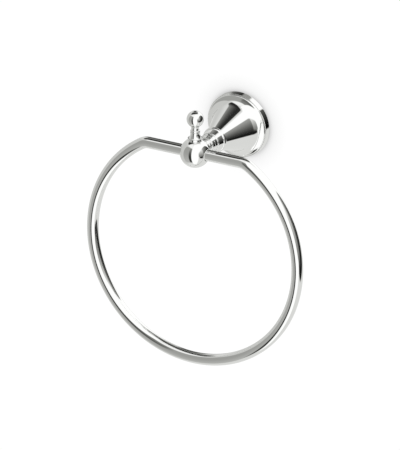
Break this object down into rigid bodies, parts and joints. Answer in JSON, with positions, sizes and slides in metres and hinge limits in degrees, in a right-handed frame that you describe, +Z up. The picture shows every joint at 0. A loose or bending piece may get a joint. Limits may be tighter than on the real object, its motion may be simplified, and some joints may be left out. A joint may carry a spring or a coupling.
{
  "type": "towel ring",
  "caption": "Chrome towel ring: a round bar ring swings in the ball of a turned post that stands out of a bell-shaped wall rose, with a small ball finial on top.",
  "frame": {"origin": "on the wall plane, on the axis of the rose, midway between the two wall screw holes", "axes": "+Y into the wall, so the object stands out along -Y; +Z up; +X to the right for someone facing the wall"},
  "size_m": [0.21, 0.0893, 0.2302],
  "materials": {
    "chrome": "polished chrome plate on brass",
    "bracket_metal": "plain cast and turned",
    "fixing_steel": "bright plated"
  },
  "bodies": {
    "wall_side": {"wall_bracket": "bracket_metal", "bell_rose": "chrome", "rose_grub_screw": "fixing_steel", "post": "chrome", "post_washer": "fixing_steel", "post_nut": "fixing_steel", "finial": "chrome"},
    "swing_ring": {"ring": "chrome"}
  },
  "joints": [
    {"name": "ring_swing", "type": "hinge", "parent": "wall_side", "child": "swing_ring", "pos_m": [0, -0.0762, 0], "axis": [-1, 0, 0], "range_deg": [-22, 202]}
  ]
}
